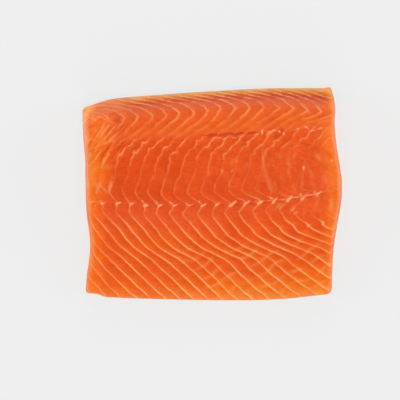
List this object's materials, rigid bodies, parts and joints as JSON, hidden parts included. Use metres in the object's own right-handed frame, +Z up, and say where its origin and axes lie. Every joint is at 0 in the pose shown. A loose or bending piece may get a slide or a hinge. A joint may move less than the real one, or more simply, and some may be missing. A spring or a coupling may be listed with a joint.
{
  "type": "skin-on salmon fillet",
  "caption": "Raw centre-cut fish fillet lying skin side down, thick along the back, thin at the belly edge, with knife-cut ends.",
  "frame": {"origin": "under the middle of the fillet, on the surface that its skin lies on", "axes": "+Z up, out of the flesh side; +Y towards the back of the fish; +X along the fish, from the left cut to the right cut as seen from above"},
  "size_m": [0.161, 0.1322, 0.0312],
  "materials": {
    "flesh": "moist satin, pale fat lines",
    "skin": "wet scales, silver belly and dark back"
  },
  "bodies": {
    "root": {"flesh": "flesh", "skin": "skin"}
  },
  "joints": []
}
